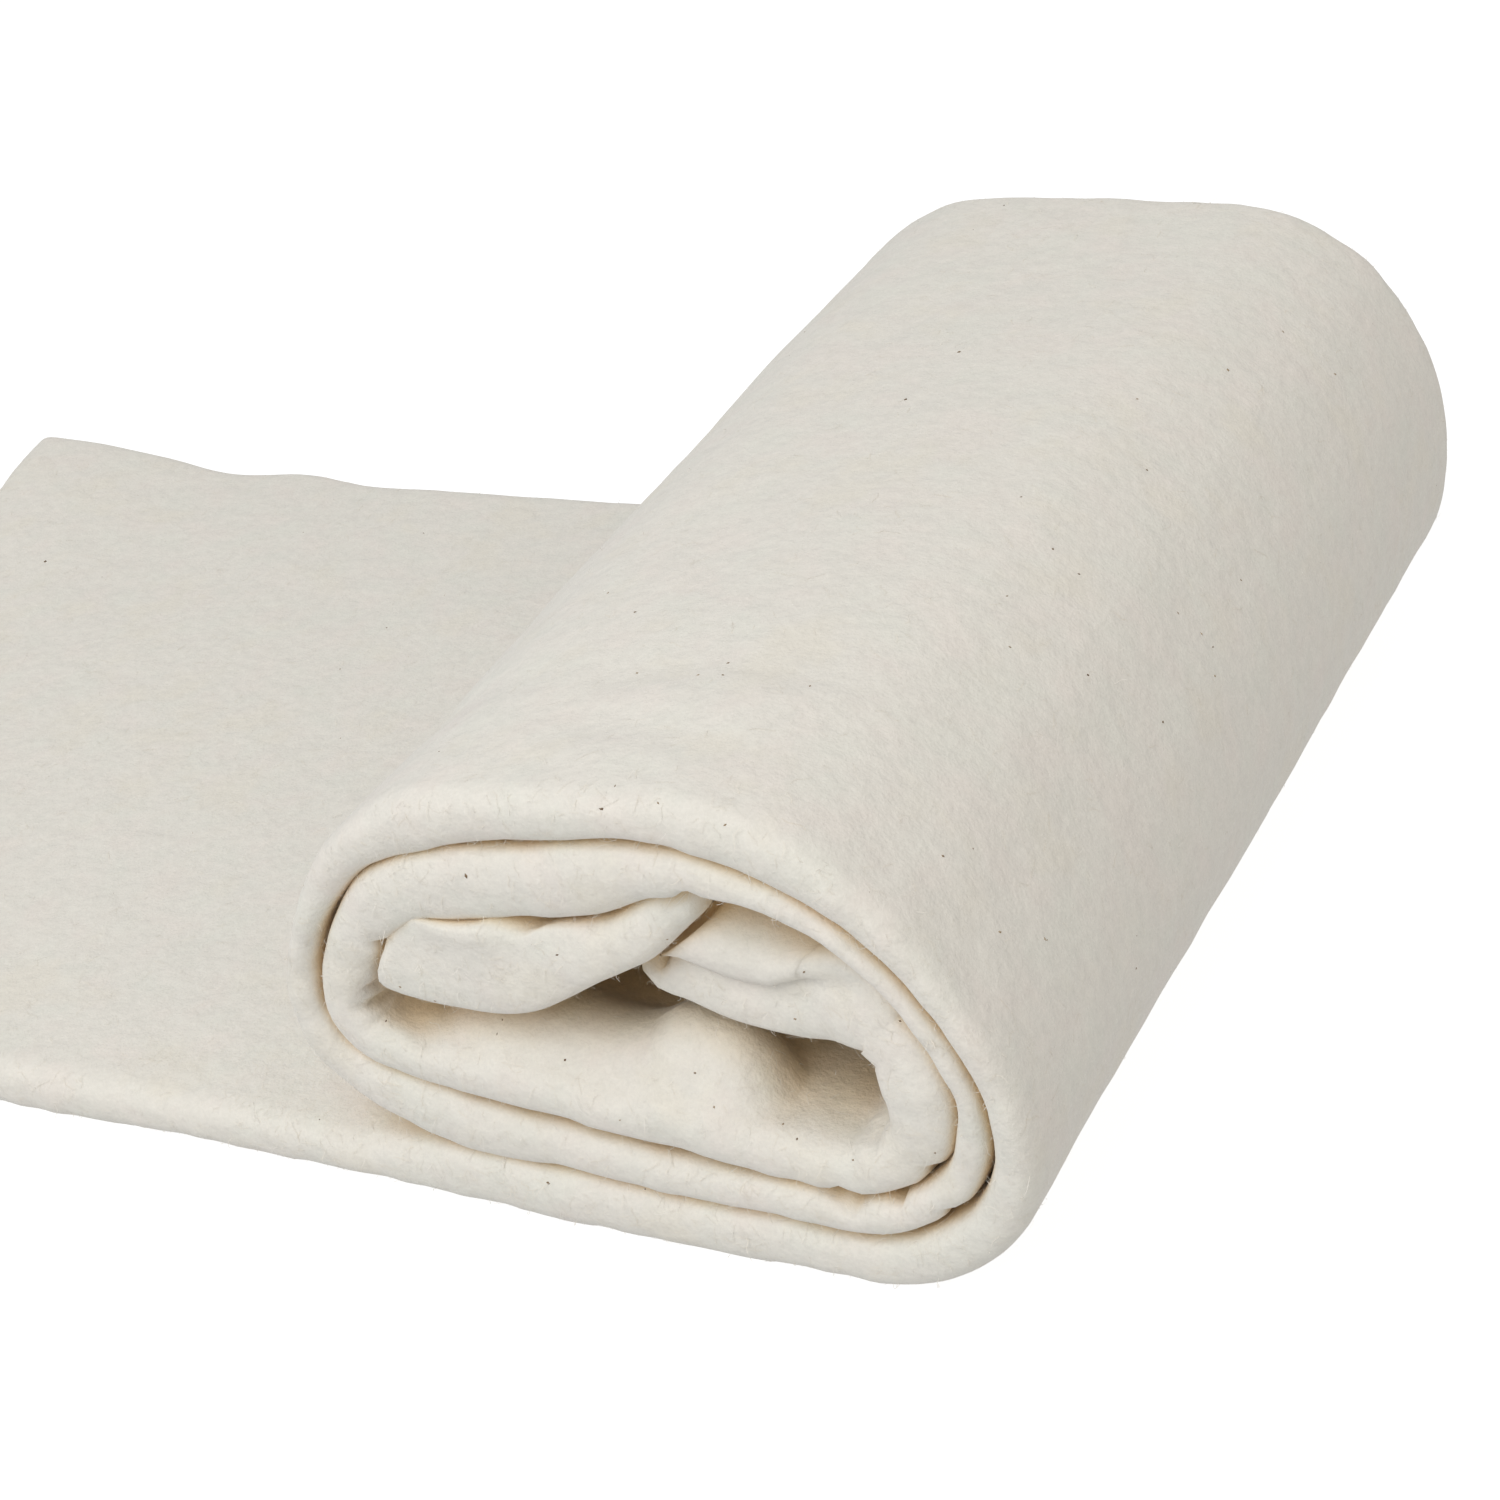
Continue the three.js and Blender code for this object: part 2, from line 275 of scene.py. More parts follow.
class Stations:
    """Lines across the cloth. A line lies at front * (1 - share) + back * share + shift."""

    def __init__(self):
        inset, loft = round_lines()
        front = np.arange(ROUND_DEPTH + STEP_FRONT, FRONT_ZONE, STEP_FRONT)
        back = np.arange(BACK_ZONE, ROUND_DEPTH, -STEP_BACK)
        first = (FRONT_ZONE + STEP_MIDDLE) / CLOTH_WIDTH
        last = 1 - (BACK_ZONE + STEP_BACK) / CLOTH_WIDTH
        middle = np.linspace(first, last, round((last - first) * CLOTH_WIDTH / STEP_MIDDLE))
        nothing = np.zeros
        self.share = np.concatenate([
            nothing(len(inset) + len(front)), middle, nothing(len(back) + len(inset)) + 1,
        ])
        self.shift = np.concatenate([inset, front, nothing(len(middle)), -back, -inset[::-1]])
        self.loft = np.concatenate([loft, nothing(len(front) + len(middle) + len(back)) + 1, loft[::-1]])

    def y(self, front, back):
        return front * (1 - self.share) + back * self.share + self.shift


def outline_at(across):
    """The roll's outline at each station: points, and directions into the roll."""
    share = smooth(across)
    points = np.array([[row.x + row.back_x * share, row.z + row.back_z * share] for row in AROUND])
    inward = np.zeros_like(points)
    for i, row in enumerate(AROUND):
        if row.z == 0:
            inward[i, 1] = 1
            continue
        along = points[min(i + 1, len(AROUND) - 1)] - points[i - 1]
        along = along / np.hypot(*along)
        inward[i] = [-along[1], along[0]]
    return points, inward


def knots_at(stations):
    """Knots of the route: middle point, loft, and the y of both edges, for every knot and station."""
    even = np.ones_like(stations.share)
    knots = []
    for row in SHEET:
        front, back = row.front_in, CLOTH_WIDTH - row.back_in
        share = (stations.y(front, back) - front) / (back - front)
        x = row.x + row.slant * (1 - share**2)
        z = SHEET_LOFT / 2 + row.lift * smooth((share - LIFT_START) / (1 - LIFT_START))
        knots.append([x, z, SHEET_LOFT * even, front * even, back * even])
    y = stations.y(0, CLOTH_WIDTH)
    points, inward = outline_at(y / CLOTH_WIDTH)
    droop_share = 1 - smooth(y / DROOP_DEPTH)
    nothing = DroopRow(0, 0, 0)
    for wrap in range(WRAPS):
        for i, row in enumerate(AROUND):
            if wrap >= len(row.wraps):
                continue
            loft = row.wraps[wrap] - row.gap + THICKER.get((wrap + 1, row.place), 0) * droop_share
            middle = points[i] + inward[i] * (sum(row.wraps[:wrap]) + loft / 2)
            droop = DROOP.get(row.place, nothing) if wrap == WRAPS - 1 else nothing
            x = middle[0] + droop.x * droop_share
            z = middle[1] + droop.z * droop_share
            knots.append([x, z, loft * even, droop.set_back * even, CLOTH_WIDTH * even])
    for row in INNER_END:
        x = row.x + row.back_x * smooth(y / CLOTH_WIDTH) + row.droop_x * droop_share
        z = row.z + row.droop_z * droop_share
        knots.append([x, z, row.loft * even, row.set_back * even, CLOTH_WIDTH * even])
    return np.array(knots)


def knot_names():
    """(wrap, place) of every knot, in the order of the route. The loose sheet is wrap 0."""
    names = [(0, row.place) for row in SHEET]
    for wrap in range(WRAPS):
        names += [(wrap + 1, row.place) for row in AROUND if wrap < len(row.wraps)]
    return names + [(WRAPS + 1, row.place) for row in INNER_END]


def route_through(knots, at):
    """Middle points at the knot numbers at, on a centripetal Catmull-Rom curve."""
    points = knots[:, :2].transpose(0, 2, 1)
    points = np.concatenate([
        2 * points[:1] - points[1:2],
        points,
        2 * points[-1:] - points[-2:-1],
    ])
    low = np.minimum(at.astype(int), len(knots) - 2)
    share = (at - low)[:, None, None]
    p0, p1, p2, p3 = (points[low + i] for i in range(4))

    def span(a, b):
        return np.sqrt(np.linalg.norm(b - a, axis=2, keepdims=True))

    d0, d1, d2 = span(p0, p1), span(p1, p2), span(p2, p3)
    slope1 = ((p1 - p0) / d0 - (p2 - p0) / (d0 + d1) + (p2 - p1) / d1) * d1
    slope2 = ((p2 - p1) / d1 - (p3 - p1) / (d1 + d2) + (p3 - p2) / d2) * d1
    square = -3 * p1 + 3 * p2 - 2 * slope1 - slope2
    cube = 2 * p1 - 2 * p2 + slope1 + slope2
    return p1 + share * (slope1 + share * (square + share * cube))


def between(knots, at, column):
    """One value of the knots, such as the loft, at the knot numbers at."""
    low = np.minimum(at.astype(int), len(knots) - 2)
    share = smooth(at - low)[:, None]
    return knots[low, column] * (1 - share) + knots[low + 1, column] * share


def steps_along(knots):
    """Knot numbers of the steps, and the share of the loft left at each by the rounds of the cut ends."""
    middle = knots[:, :2, knots.shape[2] // 2]
    reach = np.hypot(*np.diff(middle, axis=0).T)
    last = len(knots) - 1
    inset, loft = round_lines()
    start, end = inset / reach[0], last - inset / reach[-1]
    fold_start = knot_names().index((WRAPS, "right high"))
    step = np.where(np.arange(last) < fold_start, STEP_ALONG, STEP_FOLD)
    inner = [knot + np.arange(count) / count for knot, count in enumerate(np.ceil(reach / step))]
    inner = np.concatenate(inner)
    inner = inner[(inner > start[-1] + ROOM_AT_START) & (inner < end[-1] - ROOM_AT_END)]
    at = np.concatenate([start, inner, end[::-1]])
    return at, np.concatenate([loft, np.ones_like(inner), loft[::-1]])


def curve_through(x, knot_x, values):
    """A smooth curve through values at knot_x, level past both ends."""
    slope = np.gradient(values, knot_x)
    slope[[0, -1]] = 0
    low = np.clip(np.searchsorted(knot_x, x) - 1, 0, len(knot_x) - 2)
    width = knot_x[low + 1] - knot_x[low]
    t = np.clip((x - knot_x[low]) / width, 0, 1)
    rise = values[low + 1] - values[low]
    square = 3 * rise - (2 * slope[low] + slope[low + 1]) * width
    cube = (slope[low] + slope[low + 1]) * width - 2 * rise
    return values[low] + t * (slope[low] * width + t * (square + t * cube))


def length_at(lay, wrap, place, shift=0):
    """Distance along the cloth of a place on the route, plus shift."""
    return np.interp(lay["names"].index((wrap, place)), lay["at"], lay["s"]) + shift


def hang_edge(lay):
    """Hangs the front edge of the inner leg in its fold."""
    place = np.array([length_at(lay, row.wrap, row.place, row.shift) for row in EDGE_FOLD])
    before = [length_at(lay, 3, "right high")]
    after = [length_at(lay, 4, "inner end")]
    knot_s = np.concatenate([before, place, after])
    depth = np.interp(lay["s"], place, [row.depth for row in EDGE_FOLD])[:, None]
    inwards = np.clip((lay["across"] - ROUND_DEPTH) / (depth - ROUND_DEPTH), 0, 1)
    fade = (1 - inwards) ** EDGE_FOLD_EASE
    wanted = {"x": [row.x for row in EDGE_FOLD], "z": [row.z for row in EDGE_FOLD]}
    for axis, name in enumerate("xz"):
        now = np.interp(place, lay["s"], lay["middle"][:, 0, axis])
        move = np.concatenate([[0], np.array(wanted[name]) - now, [0]])
        lay["middle"][..., axis] += curve_through(lay["s"], knot_s, move)[:, None] * fade
    now = np.interp(place, lay["s"], lay["front"])
    move = np.concatenate([[0], [row.set_back for row in EDGE_FOLD] - now, [0]])
    lay["y"] += curve_through(lay["s"], knot_s, move)[:, None] * fade


def fold_height(lay, moves):
    """How far the folds lift the cloth, or one of its surfaces, towards the inside of the roll."""
    height = np.zeros_like(lay["y"])
    for fold in FOLDS:
        if fold.moves != moves:
            continue
        start = np.array([length_at(lay, fold.wrap, fold.place, fold.shift), fold.y])
        end = np.array([length_at(lay, fold.wrap, fold.place, fold.to_shift), fold.to_y])
        line = end - start
        s, y = lay["s"][:, None] - start[0], lay["across"] - start[1]
        t = np.clip((s * line[0] + y * line[1]) / (line @ line), 0, 1)
        distance = np.hypot(s - t * line[0], y - t * line[1])
        height += fold.height * near(distance, fold.width)
    return height


def normals_of(lay):
    """Unit vectors through the thickness, towards the inside of the roll."""
    points = np.stack([lay["middle"][..., 0], lay["y"], lay["middle"][..., 1]], axis=2)
    along = np.gradient(points, axis=0)
    across = np.gradient(points, axis=1)
    normal = np.cross(along, across)
    return normal / np.linalg.norm(normal, axis=2, keepdims=True), points


def lay_sheet():
    """The sheet as a grid of middle points, steps by stations, with the lie of each on the flat cloth."""
    stations = Stations()
    knots = knots_at(stations)
    at, end_loft = steps_along(knots)
    middle = route_through(knots, at)
    centre = len(stations.share) // 2
    front = between(knots, at, 3)
    y = stations.y(front, between(knots, at, 4))
    edge_round = 1 / np.sqrt(end_loft[:, None] ** -2 + stations.loft**-2 - 1)
    lay = {
        "names": knot_names(),
        "at": at,
        "s": np.concatenate([[0], np.cumsum(np.hypot(*np.diff(middle[:, centre], axis=0).T))]),
        "front": front[:, 0],
        "across": y - front,
        "y": y,
        "middle": middle,
        "round": edge_round,
        "half": between(knots, at, 2) * edge_round / 2,
    }
    hang_edge(lay)
    fray_edges(lay)
    return lay


def ripple(waves, u, v, seed):
    """The sum of the waves over a plane, each with a seed of its own."""
    return sum(wave.height * soft_noise(u, v, wave.size, seed + i) for i, wave in enumerate(waves))


def fray_edges(lay):
    """Makes the cut edges run unevenly."""
    along, across = lay["s"], lay["y"][lay["y"].shape[0] // 2]
    front = ripple(EDGE_WAVES, along, 0, FRONT_SEED)
    back = ripple(EDGE_WAVES, along, BACK_ROW, BACK_SEED)
    start = ripple(EDGE_WAVES, across, 0, START_SEED)
    lay["y"] += front[:, None] * near(lay["across"], EDGE_DEPTH)
    lay["y"] += back[:, None] * near(CLOTH_WIDTH - lay["across"], EDGE_DEPTH)
    lay["middle"][..., 0] += start * near(lay["s"], EDGE_DEPTH)[:, None]


def sheet_points(lay):
    """Points of the inner and the outer surface of the sheet."""
    swell = soft_noise(lay["s"], 0, EDGE_SWELL_LENGTH, SWELL_SEED)[:, None]
    normal, middle = normals_of(lay)
    middle = middle + normal * fold_height(lay, "sheet")[..., None]
    normal, _ = normals_of({**lay, "middle": middle[..., [0, 2]], "y": middle[..., 1]})
    half = lay["half"] * (1 + EDGE_SWELL * near(lay["across"], EDGE_SWELL_DEPTH) * swell)
    s, across = lay["s"][:, None], lay["across"]
    inside_height = fold_height(lay, "inside") + ripple(LUMPS, s, across, INSIDE_SEED)
    outside_height = fold_height(lay, "outside") + ripple(LUMPS, s, across, OUTSIDE_SEED)
    inside = middle + normal * (half + inside_height * lay["round"])[..., None]
    outside = middle - normal * (half - outside_height * lay["round"])[..., None]
    for points in (inside, outside):
        points[..., 1] -= CLOTH_WIDTH / 2
        points[..., 2] = np.where(points[..., 2] < FLAT_SPOT, 0, points[..., 2])
    return inside, outside


def sheet_faces(rows, columns):
    """Faces of the closed skin round both grids of points."""
    number = np.arange(2 * rows * columns).reshape(2, rows, columns)
    inner, outer = number

    def quads(a, b, c, d):
        return np.stack([a.ravel(), b.ravel(), c.ravel(), d.ravel()], axis=1)

    return np.concatenate([
        quads(inner[:-1, :-1], inner[1:, :-1], inner[1:, 1:], inner[:-1, 1:]),
        quads(outer[:-1, :-1], outer[:-1, 1:], outer[1:, 1:], outer[1:, :-1]),
        quads(inner[0, :-1], inner[0, 1:], outer[0, 1:], outer[0, :-1]),
        quads(inner[-1, 1:], inner[-1, :-1], outer[-1, :-1], outer[-1, 1:]),
        quads(inner[1:, 0], inner[:-1, 0], outer[:-1, 0], outer[1:, 0]),
        quads(inner[:-1, -1], inner[1:, -1], outer[1:, -1], outer[:-1, -1]),
    ])


def add_mesh(name, points, faces, material):
    """A smooth-shaded object in metres, from points in millimetres."""
    mesh = bpy.data.meshes.new(name)
    mesh.from_pydata((np.asarray(points) * MM).tolist(), [], np.asarray(faces).tolist())
    mesh.materials.append(material)
    mesh.shade_smooth()
    piece = bpy.data.objects.new(name, mesh)
    bpy.context.scene.collection.objects.link(piece)
    return piece


def add_value(mesh, name, values):
    attribute = mesh.attributes.new(name, "FLOAT", "POINT")
    attribute.data.foreach_set("value", np.asarray(values, np.float32).ravel())


class Shading:
    """Short forms for the nodes of one material."""

    def __init__(self, name):
        self.material = bpy.data.materials.new(name)
        self.material.use_nodes = True
        self.tree = self.material.node_tree
        self.shader = self.tree.nodes["Principled BSDF"]

    def node(self, kind, inputs=(), **settings):
        node = self.tree.nodes.new(kind)
        for key, value in settings.items():
            setattr(node, key, value)
        for socket, value in dict(inputs).items():
            self.put(node.inputs[socket], value)
        return node

    def put(self, socket, value):
        """Links a socket to a value that is a socket itself, or else sets it."""
        if isinstance(value, bpy.types.NodeSocket):
            self.tree.links.new(value, socket)
        else:
            socket.default_value = value

    def noise(self, place, size, detail=2.0, roughness=0.5):
        """Noise with features about as wide as size, in metres. 0.5 is its mean."""
        inputs = {"Vector": place, "Scale": 1 / size, "Detail": detail, "Roughness": roughness}
        return self.node("ShaderNodeTexNoise", inputs).outputs["Fac"]

    def spread(self, value, low, high, to_low=0.0, to_high=1.0):
        """Turns low..high smoothly into to_low..to_high."""
        inputs = {"Value": value, "From Min": low, "From Max": high, "To Min": to_low, "To Max": to_high}
        return self.node("ShaderNodeMapRange", inputs, interpolation_type="SMOOTHSTEP").outputs["Result"]

    def blend(self, share, first, second, how="MIX"):
        """Mixes two colours. Inputs 0, 6 and 7 and output 2 of the node are those of its colour mode."""
        node = self.node("ShaderNodeMix", data_type="RGBA", blend_type=how)
        self.put(node.inputs[0], share)
        self.put(node.inputs[6], first)
        self.put(node.inputs[7], second)
        return node.outputs[2]

    def bump(self, height, depth, before=None):
        """The normal of a surface with bumps of a depth in metres, on top of those before."""
        inputs = {"Height": height, "Distance": depth, "Strength": 1.0}
        if before is not None:
            inputs["Normal"] = before
        return self.node("ShaderNodeBump", inputs).outputs["Normal"]

    def finish(self, colour, **surface):
        """Puts the colour and the surface's values, by their names with _ for a space, into the shader."""
        self.put(self.shader.inputs["Base Color"], colour)
        for name, value in surface.items():
            self.shader.inputs[name.replace("_", " ")].default_value = value
        return self.material


# For the painted shade: how far a point looks for cloth that keeps light off it, how far off its surface
# it starts, in how many directions it looks, and how often the result is spread over the neighbours
SHELTER_REACH = 45
SHELTER_START = 0.3
SHELTER_RAYS = 28
SHELTER_BLURS = 3

# Colours of the felt, of single fibres and of seed husk, and the tint of painted shade in creases and
# hollows
CREAM = (0.845, 0.815, 0.745, 1)
ROSE = (0.855, 0.810, 0.742, 1)
SAGE = (0.836, 0.818, 0.744, 1)
STRAW = (0.845, 0.808, 0.722, 1)
# Painted shade: the felt's colour is multiplied by this where the cloth keeps light off it
PAINTED_SHADE_TINT = (0.89, 0.70, 0.44, 1)
PALE_FIBRE = (0.86, 0.83, 0.77, 1)
DULL_FIBRE = (0.84, 0.79, 0.70, 1)
DARK_HUSK = (0.16, 0.10, 0.055, 1)
TAN_HUSK = (0.42, 0.32, 0.21, 1)

# Widths of the features in the materials, and depths of the felt's bumps, in metres
PATCH_SIZE = 0.011
STRAW_PATCH_SIZE = 0.017
TUFT_SIZE = 0.0026
FUZZ_SIZE = 0.0007
SWELLING_SIZE = 0.009
FIBRE_PATCH_SIZE = 0.005
HUSK_PATCH_SIZE = 0.004
TUFT_DEPTH = 0.0003
FUZZ_DEPTH = 0.00016
SWELLING_DEPTH = 0.0007

# Values of the noise, or of the cloth's cover for the painted shade, over which each colour or shade
# comes in, and the shades
ROSE_RANGE = (0.5, 0.68)
SAGE_RANGE = (0.5, 0.32)
STRAW_RANGE = (0.52, 0.7)
TUFT_RANGE = (0.3, 0.7)
TUFT_SHADES = (0.975, 1.015)
FUZZ_RANGE = (0.25, 0.75)
FUZZ_SHADES = (0.965, 1.025)
PAINTED_SHADE_RANGE = (0.3, 0.95)
SPECK_RANGE = (0.35, 0.65)


def cotton_material():
    """Felted undyed cotton: faint patches of colour, fine fuzz, and painted shade, warmer and darker where
    little light gets in.
    """
    make = Shading("cream_cotton")
    place = make.node("ShaderNodeTexCoord").outputs["Object"]
    patches = make.noise(place, PATCH_SIZE, 3)
    straw_patches = make.noise(place, STRAW_PATCH_SIZE, 3)
    tufts = make.noise(place, TUFT_SIZE, 2)
    fuzz = make.noise(place, FUZZ_SIZE, 3, 0.6)
    colour = make.blend(make.spread(patches, *ROSE_RANGE), CREAM, ROSE)
    colour = make.blend(make.spread(patches, *SAGE_RANGE), colour, SAGE)
    colour = make.blend(make.spread(straw_patches, *STRAW_RANGE), colour, STRAW)
    shade = make.spread(tufts, *TUFT_RANGE, *TUFT_SHADES)
    colour = make.blend(1.0, colour, shade, "MULTIPLY")
    shade = make.spread(fuzz, *FUZZ_RANGE, *FUZZ_SHADES)
    colour = make.blend(1.0, colour, shade, "MULTIPLY")
    # Painted shade: darkens and warms the colour where the cloth covers the sky, in creases, seams and
    # hollows
    painted_shade_cover = make.node("ShaderNodeAttribute", attribute_name="painted_shade_cover").outputs["Fac"]
    painted_shade_share = make.spread(painted_shade_cover, *PAINTED_SHADE_RANGE)
    painted_shade_colour = make.blend(1.0, colour, PAINTED_SHADE_TINT, "MULTIPLY")
    colour = make.blend(painted_shade_share, colour, painted_shade_colour)
    normal = make.bump(make.noise(place, SWELLING_SIZE, 2), SWELLING_DEPTH)
    normal = make.bump(tufts, TUFT_DEPTH, normal)
    normal = make.bump(fuzz, FUZZ_DEPTH, normal)
    make.put(make.shader.inputs["Normal"], normal)
    return make.finish(colour, Roughness=1, Specular_IOR_Level=0.15, Sheen_Weight=0.25, Sheen_Roughness=0.5)


def fibre_material():
    """Single cotton fibres, in nearly the colour of the felt."""
    make = Shading("loose_cotton")
    place = make.node("ShaderNodeTexCoord").outputs["Object"]
    share = make.spread(make.noise(place, FIBRE_PATCH_SIZE, 2), *SPECK_RANGE)
    colour = make.blend(share, PALE_FIBRE, DULL_FIBRE)
    return make.finish(colour, Roughness=1, Specular_IOR_Level=0.1)


def husk_material():
    """Scraps of cotton seed husk, from tan to dark brown."""
    make = Shading("seed_husk")
    place = make.node("ShaderNodeTexCoord").outputs["Object"]
    share = make.spread(make.noise(place, HUSK_PATCH_SIZE, 1), *SPECK_RANGE)
    colour = make.blend(share, DARK_HUSK, TAN_HUSK)
    return make.finish(colour, Roughness=0.8, Specular_IOR_Level=0.3)


# Loose fibres: their length and width, how far they rise off the felt, how much farther and how much denser
# they are along the cut edges, how deep their ends are set, how much they bend and curl for their length,
# and which share of a full arch they make
FIBRES = 16000
FIBRE_SEED = 5
FIBRE_STEPS = 4
FIBRE_LENGTH = (1.2, 4.5)
FIBRE_WIDTH = (0.05, 0.1)
FIBRE_RISE = 0.25
EDGE_RISE = 0.45
EDGE_FUZZ = 9
EDGE_FUZZ_DEPTH = 4
FIBRE_ROOT = 0.05
FIBRE_BEND = 0.25
FIBRE_CURL = 0.12
FIBRE_ARCH = (0.5, 1.0)

# Seed flecks that stand out in the photograph, by their place in it in pixels, and the size of each
PHOTO_SIZE = 1500
Fleck = namedtuple("Fleck", "right down size", defaults=[0.7])
FLECKS = [
    Fleck(466, 876, 1.1), Fleck(959, 352, 1), Fleck(1228, 370, 1), Fleck(795, 1019, 0.8),
    Fleck(804, 972, 0.9), Fleck(1000, 932, 0.9), Fleck(1045, 939), Fleck(943, 856), Fleck(557, 955, 0.8),
    Fleck(601, 809, 0.9), Fleck(548, 1183, 0.9), Fleck(565, 1060, 0.6), Fleck(1047, 940, 0.6),
    Fleck(1163, 722), Fleck(608, 593), Fleck(635, 612), Fleck(637, 673), Fleck(698, 675), Fleck(723, 675),
    Fleck(728, 663), Fleck(810, 686), Fleck(615, 786), Fleck(602, 809), Fleck(658, 803), Fleck(725, 825),
    Fleck(1147, 470), Fleck(1021, 497), Fleck(1053, 549), Fleck(1079, 574), Fleck(1010, 647),
    Fleck(1007, 596), Fleck(1241, 580), Fleck(1213, 647), Fleck(1215, 676), Fleck(1088, 675),
    Fleck(1178, 613), Fleck(714, 1107, 0.6), Fleck(695, 1073, 0.6), Fleck(797, 1139, 0.6),
    Fleck(853, 1160, 0.6), Fleck(935, 1153, 0.6), Fleck(900, 1021, 0.6), Fleck(783, 1124, 0.6),
    Fleck(435, 1001, 0.6), Fleck(386, 1021, 0.6), Fleck(497, 1034, 0.6), Fleck(400, 987, 0.6),
    Fleck(645, 1189, 0.6),
]
# Flecks scattered over the rest, their size and how much it varies, and how slim and how thick flecks are
LOOSE_FLECKS = 260
FLECK_SEED = 8
FLECK_SIZE = 0.45
FLECK_VARIETY = 0.4
FLECK_SLIM = (0.35, 0.8)
FLECK_THICK = 0.4


def directions(count):
    """Unit vectors spread evenly over a half sphere about +Z, more of them near its top."""
    turn = np.arange(count) * math.pi * (3 - math.sqrt(5))
    radius = np.sqrt((np.arange(count) + 0.5) / count)
    return np.stack([radius * np.cos(turn), radius * np.sin(turn), np.sqrt(1 - radius**2)], axis=1)


def sky_cover_for_painted_shade(piece):
    """How much of the sky over each point the cloth itself covers within SHELTER_REACH, from 0 to 1."""
    mesh = piece.data
    tree = BVHTree.FromPolygons([v.co for v in mesh.vertices], [p.vertices for p in mesh.polygons])
    rays = [Vector(ray) for ray in directions(SHELTER_RAYS)]
    covered = np.zeros(len(mesh.vertices))
    for i, vertex in enumerate(mesh.vertices):
        turn = vertex.normal.to_track_quat("Z", "Y")
        start = vertex.co + vertex.normal * SHELTER_START * MM
        hits = sum(tree.ray_cast(start, turn @ ray, SHELTER_REACH * MM)[0] is not None for ray in rays)
        covered[i] = hits / SHELTER_RAYS
    return covered


def blur(values):
    """Spreads the values of both grids of points over their neighbours, so that the painted shade fades
    softly, as light spreads in loose felt.
    """
    for _ in range(SHELTER_BLURS):
        for axis in (1, 2):
            values = np.moveaxis(values, axis, -1)
            ends = np.concatenate([values[..., :1], values, values[..., -1:]], axis=-1)
            values = np.moveaxis((ends[..., :-2] + 2 * values + ends[..., 2:]) / 4, -1, axis)
    return values


def add_batting(material):
    """The dressed sheet, which takes the place of the solid."""
    lay = lay_sheet()
    inside, outside = sheet_points(lay)
    rows, columns = lay["y"].shape
    points = np.concatenate([inside.reshape(-1, 3), outside.reshape(-1, 3)])
    faces = sheet_faces(rows, columns)
    piece = add_mesh("cotton_batting", points, faces, material)
    # Painted shade: the share of sky that the cloth covers at each point, which the material darkens and
    # warms
    add_value(piece.data, "painted_shade_cover", blur(sky_cover_for_painted_shade(piece).reshape(2, rows, columns)))
    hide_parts("batting")
    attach(piece, "root")
    return piece, Skin(points, faces, lay)


class Skin:
    """The faces of the sheet: middle, normal, area and distance from the nearest cut edge, in mm."""

    def __init__(self, points, faces, lay):
        corners = points[faces]
        normal = np.cross(corners[:, 2] - corners[:, 0], corners[:, 3] - corners[:, 1])
        length = np.linalg.norm(normal, axis=1)
        self.middle = corners.mean(axis=1)
        self.normal = normal / np.maximum(length, 1e-9)[:, None]
        self.area = length / 2
        s, across = lay["s"][:, None] + 0 * lay["across"], lay["across"]
        nearest = np.minimum(np.minimum(across, CLOTH_WIDTH - across), np.minimum(s, s[-1] - s))
        self.edge = np.tile(nearest.ravel(), 2)[faces].mean(axis=1)

    def scatter(self, count, weight, rng):
        """Points spread over the faces by weight: places, normals, two directions along the skin, and how
        near to a cut edge they are, from 0 to 1."""
        share = self.area * weight
        face = rng.choice(len(share), count, p=share / share.sum())
        normal = self.normal[face]
        first = np.cross(normal, rng.normal(size=(count, 3)))
        first /= np.linalg.norm(first, axis=1, keepdims=True)
        second = np.cross(normal, first)
        jitter = rng.uniform(-1, 1, (count, 2)) * np.sqrt(self.area[face])[:, None] / 2
        place = self.middle[face] + first * jitter[:, :1] + second * jitter[:, 1:]
        return place, normal, first, second, np.exp(-self.edge[face] / EDGE_FUZZ_DEPTH)


def add_fibres(skin, material):
    """Fine loose fibres: ribbons that arch over the felt, most of them along the cut edges."""
    rng = np.random.default_rng(FIBRE_SEED)
    weight = 1 + EDGE_FUZZ * np.exp(-skin.edge / EDGE_FUZZ_DEPTH)
    place, normal, along, aside, at_edge = skin.scatter(FIBRES, weight, rng)
    length = rng.uniform(*FIBRE_LENGTH, FIBRES)[:, None]
    rise = rng.exponential(FIBRE_RISE, FIBRES)[:, None]
    rise = rise + rng.exponential(EDGE_RISE, FIBRES)[:, None] * at_edge[:, None]
    bend = rng.normal(0, FIBRE_BEND, FIBRES)[:, None] * length
    curl = rng.normal(0, FIBRE_CURL, FIBRES)[:, None] * length
    width = rng.uniform(*FIBRE_WIDTH, FIBRES)[:, None]
    loose_end = rng.uniform(*FIBRE_ARCH, FIBRES)[:, None]
    rows = []
    for share in np.linspace(0, 1, FIBRE_STEPS + 1):
        arch = np.sin(math.pi * share * loose_end)
        middle = place + along * length * (share - 0.5) + normal * (rise * arch - FIBRE_ROOT)
        middle = middle + aside * (bend * share**2 + curl * np.sin(2 * math.pi * share))
        half = aside * width / 2
        rows.append(np.stack([middle - half, middle + half], axis=1))
    points = np.stack(rows, axis=1).reshape(-1, 3)
    points[:, 2] = np.maximum(points[:, 2], 0)
    first = np.arange(FIBRES)[:, None] * 2 * (FIBRE_STEPS + 1) + np.arange(FIBRE_STEPS) * 2
    faces = np.stack([first, first + 1, first + 3, first + 2], axis=2).reshape(-1, 4)
    return add_mesh("stray_fibres", points, faces, material)


